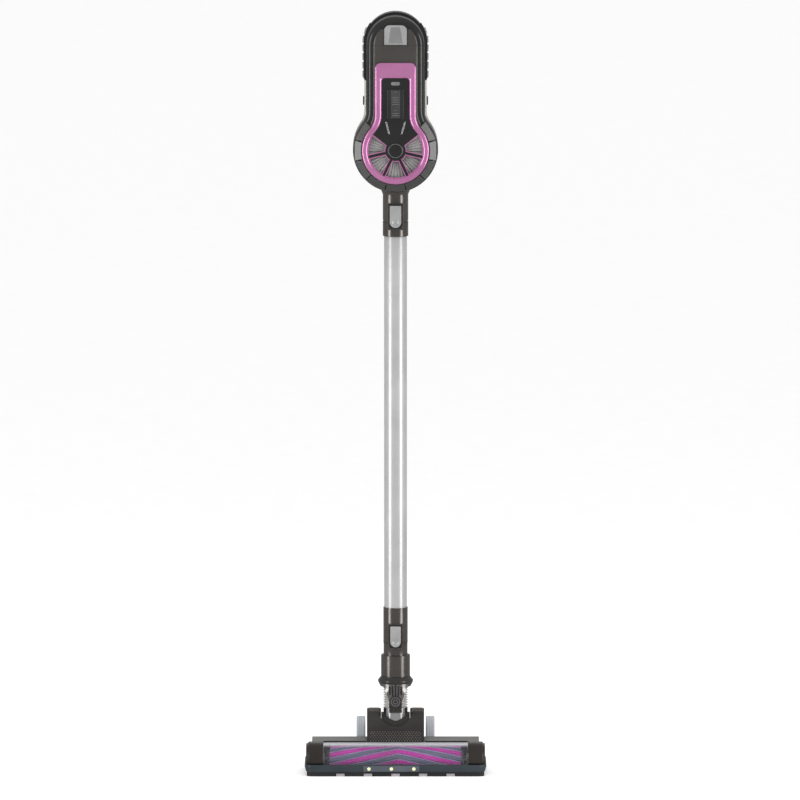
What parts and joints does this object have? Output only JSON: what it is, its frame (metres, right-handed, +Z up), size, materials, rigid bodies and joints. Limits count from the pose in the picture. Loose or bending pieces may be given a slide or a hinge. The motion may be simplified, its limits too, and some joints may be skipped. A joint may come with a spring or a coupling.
{
  "type": "cordless stick vacuum",
  "caption": "Upright cordless stick vacuum with a round motor pod, straight metal wand and a powered floor head with a clear brush window.",
  "frame": {"origin": "on the floor, under the wand's axis, on the flat underside of the floor head", "axes": "+Z up along the wand, -Y to the front where the head's bumper faces, +X to the right seen from the front"},
  "size_m": [0.264, 0.1905, 1.106],
  "materials": {
    "black_matte": "black moulded plastic, fine satin grain",
    "slate_bumper": "soft slate blue-grey bumper",
    "led_panel": "grey strip round the headlights",
    "led_glow": "warm white headlight lens, lit",
    "clear_window": "clear polycarbonate window",
    "graphite_gloss": "glossy gunmetal plastic with a metallic flake",
    "charcoal_plastic": "charcoal plastic, satin",
    "grey_gloss": "glossy warm grey plastic",
    "wheel_grey": "light grey wheel plastic",
    "steel": "plain machined steel",
    "motor_steel": "plated steel motor case",
    "black_rubber": "black soft rubber",
    "roller_plastic": "grey violet roller core",
    "felt_magenta": "magenta plush felt",
    "felt_grey": "blue-grey and lavender plush felt",
    "felt_glide": "grey glide felt",
    "tube_aluminium": "satin anodised aluminium tube",
    "silver_plastic": "silver painted plastic",
    "pink_metallic": "pink metallic lacquer",
    "black_gloss": "piano black plastic",
    "filter_grey": "grey exhaust foam",
    "bright_chrome": "bright chrome trim",
    "indicator_glow": "frosted charge indicator",
    "board_green": "green circuit board",
    "ivory_shell": "pale warm ivory plastic",
    "fan_plastic": "amber fan plastic",
    "cell_metal": "blue sleeved battery cells",
    "smoked_cup": "clear smoked plastic",
    "filter_white": "off-white pleated filter"
  },
  "bodies": {
    "floor_head": {"sole_chassis": "black_matte", "glide_strips": "felt_glide", "front_bumper": "slate_bumper", "led_bar": "led_panel", "led_lenses": "led_glow", "brush_window": "clear_window", "end_caps": "graphite_gloss", "rear_deck": "graphite_gloss", "centre_housing": "charcoal_plastic", "wheel_axles": "steel", "head_motor": "motor_steel", "drive_belt": "black_rubber", "roller_bearings": "steel", "head_screws": "steel"},
    "brush_roller": {"roller_core": "roller_plastic", "felt_magenta": "felt_magenta", "felt_grey": "felt_grey"},
    "motor_drive": {"motor_pulley": "motor_steel"},
    "left_wheel": {"wheel_left": "wheel_grey"},
    "right_wheel": {"wheel_right": "wheel_grey"},
    "neck_elbow": {"pitch_barrel": "grey_gloss", "swivel_pins": "steel", "neck_hose": "black_rubber"},
    "lower_yoke": {"swivel_yoke": "graphite_gloss", "yoke_spigot": "black_matte"},
    "wand": {"wand_tube": "tube_aluminium", "wand_sleeve": "graphite_gloss", "wand_spring": "steel", "wand_spigot": "black_matte"},
    "wand_catch": {"wand_button": "silver_plastic"},
    "handset": {"neck_sleeve": "graphite_gloss", "neck_spring": "steel", "front_shell": "graphite_gloss", "trim_frame": "pink_metallic", "grille_panel": "black_gloss", "exhaust_filter": "filter_grey", "hub_cap": "black_gloss", "chrome_strips": "bright_chrome", "indicator_lens": "indicator_glow", "control_board": "board_green", "rear_shell": "ivory_shell", "shell_screws": "steel", "side_grips": "black_rubber", "handle_loop": "charcoal_plastic", "handle_grip": "black_rubber", "motor_can": "motor_steel", "inlet_duct": "black_matte", "charge_socket": "black_matte"},
    "neck_catch": {"neck_button": "silver_plastic"},
    "fan": {"fan_rotor": "fan_plastic"},
    "power_switch": {"power_slider": "charcoal_plastic"},
    "battery_pack": {"battery_case": "black_gloss", "battery_cells": "cell_metal"},
    "battery_catch": {"battery_button": "silver_plastic"},
    "cup": {"dust_cup": "smoked_cup", "filter_cartridge": "filter_white"},
    "cup_lid": {"cup_door": "smoked_cup"},
    "cup_catch": {"cup_latch": "silver_plastic"},
    "left_release": {"release_left": "black_matte"},
    "right_release": {"release_right": "black_matte"}
  },
  "joints": [
    {"name": "brush_spin", "type": "hinge", "parent": "floor_head", "child": "brush_roller", "pos_m": [0, -0.045, 0.021], "axis": [1, 0, 0], "continuous": true},
    {"name": "drive_spin", "type": "hinge", "parent": "floor_head", "child": "motor_drive", "pos_m": [0, -0.004, 0.024], "axis": [1, 0, 0], "continuous": true},
    {"name": "wheel_left_spin", "type": "hinge", "parent": "floor_head", "child": "left_wheel", "pos_m": [0, 0.0476, 0.035], "axis": [1, 0, 0], "continuous": true},
    {"name": "wheel_right_spin", "type": "hinge", "parent": "floor_head", "child": "right_wheel", "pos_m": [0, 0.0476, 0.035], "axis": [1, 0, 0], "continuous": true},
    {"name": "neck_pitch", "type": "hinge", "parent": "floor_head", "child": "neck_elbow", "pos_m": [0, 0, 0.062], "axis": [-1, 0, 0], "range_deg": [0, 75]},
    {"name": "neck_swivel", "type": "hinge", "parent": "neck_elbow", "child": "lower_yoke", "pos_m": [0, 0, 0.102], "axis": [0, 1, 0], "range_deg": [-40, 40], "deforming": ["neck_hose"]},
    {"name": "wand_release", "type": "slide", "parent": "lower_yoke", "child": "wand", "axis": [0, 0, 1], "range_m": [0, 0.05]},
    {"name": "wand_catch_press", "type": "hinge", "parent": "wand", "child": "wand_catch", "pos_m": [0, -0.0197, 0.1993], "axis": [1, 0, 0], "range_deg": [0, 6], "stiffness_Nm_per_rad": 0.4, "springref_deg": -2.86, "deforming": ["wand_spring"]},
    {"name": "handset_release", "type": "slide", "parent": "wand", "child": "handset", "axis": [0, 0, 1], "range_m": [0, 0.055]},
    {"name": "neck_catch_press", "type": "hinge", "parent": "handset", "child": "neck_catch", "pos_m": [0, -0.0204, 0.8127], "axis": [1, 0, 0], "range_deg": [0, 6], "stiffness_Nm_per_rad": 0.4, "springref_deg": -2.86, "deforming": ["neck_spring"]},
    {"name": "fan_spin", "type": "hinge", "parent": "handset", "child": "fan", "pos_m": [0, 0, 0.9087], "axis": [0, 1, 0], "continuous": true},
    {"name": "switch_slide", "type": "slide", "parent": "handset", "child": "power_switch", "axis": [0, 0, 1], "range_m": [-0.004, 0.004]},
    {"name": "battery_slide", "type": "slide", "parent": "handset", "child": "battery_pack", "axis": [0, 0, 1], "range_m": [0, 0.095]},
    {"name": "battery_catch_press", "type": "slide", "parent": "battery_pack", "child": "battery_catch", "axis": [0, 1, 0], "range_m": [0, 0.002], "stiffness_N_per_m": 800, "springref_m": -0.002},
    {"name": "cup_slide", "type": "slide", "parent": "handset", "child": "cup", "axis": [0, 1, 0], "range_m": [0, 0.07]},
    {"name": "cup_door_open", "type": "hinge", "parent": "cup", "child": "cup_lid", "pos_m": [0, 0.0883, 0.8471], "axis": [-1, 0, 0], "range_deg": [0, 95]},
    {"name": "cup_catch_lift", "type": "hinge", "parent": "cup", "child": "cup_catch", "pos_m": [0, 0.0803, 0.96975], "axis": [1, 0, 0], "range_deg": [0, 8], "stiffness_Nm_per_rad": 0.4, "springref_deg": -2.86},
    {"name": "release_left_press", "type": "slide", "parent": "handset", "child": "left_release", "axis": [1, 0, 0], "range_m": [0, 0.0015], "stiffness_N_per_m": 800, "springref_m": -0.001},
    {"name": "release_right_press", "type": "slide", "parent": "handset", "child": "right_release", "axis": [-1, 0, 0], "range_m": [0, 0.0015], "stiffness_N_per_m": 800, "springref_m": -0.001}
  ],
  "couplings": [
    {"joint": "drive_spin", "follows": "brush_spin", "ratio": 2.1818}
  ]
}
